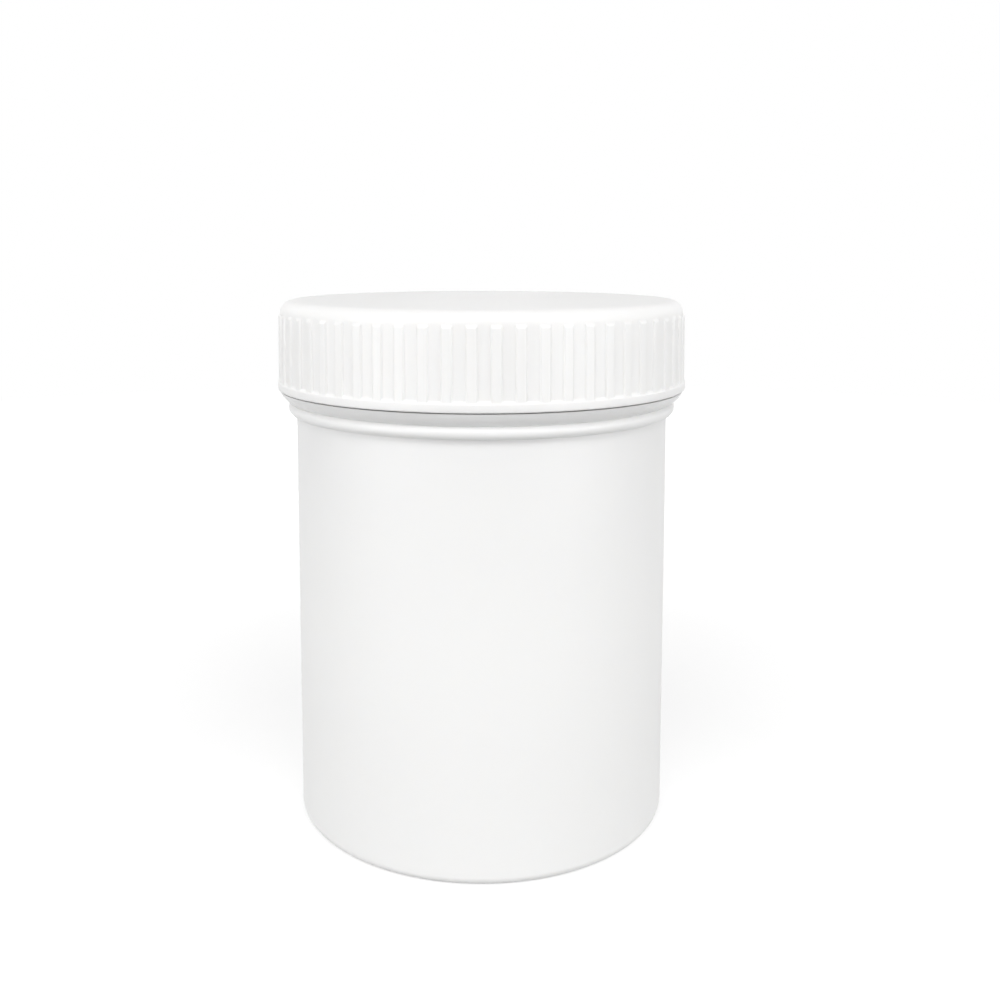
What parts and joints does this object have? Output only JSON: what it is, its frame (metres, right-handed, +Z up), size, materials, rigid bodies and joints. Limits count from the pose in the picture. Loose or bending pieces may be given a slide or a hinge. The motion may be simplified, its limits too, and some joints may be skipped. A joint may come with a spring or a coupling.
{
  "type": "slide staining jar",
  "caption": "Round straight-sided plastic jar with moulded slide combs inside and a ribbed screw cap with a liner.",
  "frame": {"origin": "centre of the base, on the plane that the foot ring stands on", "axes": "+Z up along the jar's axis; the two slide combs face each other along X, so the front is -Y"},
  "size_m": [0.0724, 0.0724, 0.0902],
  "materials": {
    "jar_plastic": "white translucent polypropylene, smooth moulded gloss",
    "cap_plastic": "opaque white polypropylene, soft satin gloss",
    "liner_foam": "off-white closed-cell polyethylene foam, matte"
  },
  "bodies": {
    "jar": {"jar": "jar_plastic"},
    "liner": {"cap_liner": "liner_foam"},
    "cap": {"screw_cap": "cap_plastic"}
  },
  "joints": [
    {"name": "cap_lift", "type": "slide", "parent": "jar", "child": "liner", "axis": [0, 0, 1], "range_m": [0, 0.024]},
    {"name": "cap_turn", "type": "hinge", "parent": "liner", "child": "cap", "pos_m": [0, 0, 0.08], "axis": [0, 0, 1], "range_deg": [0, 1440]}
  ],
  "couplings": [
    {"joint": "cap_lift", "follows": "cap_turn", "m_per_rad": 0.00095493}
  ]
}
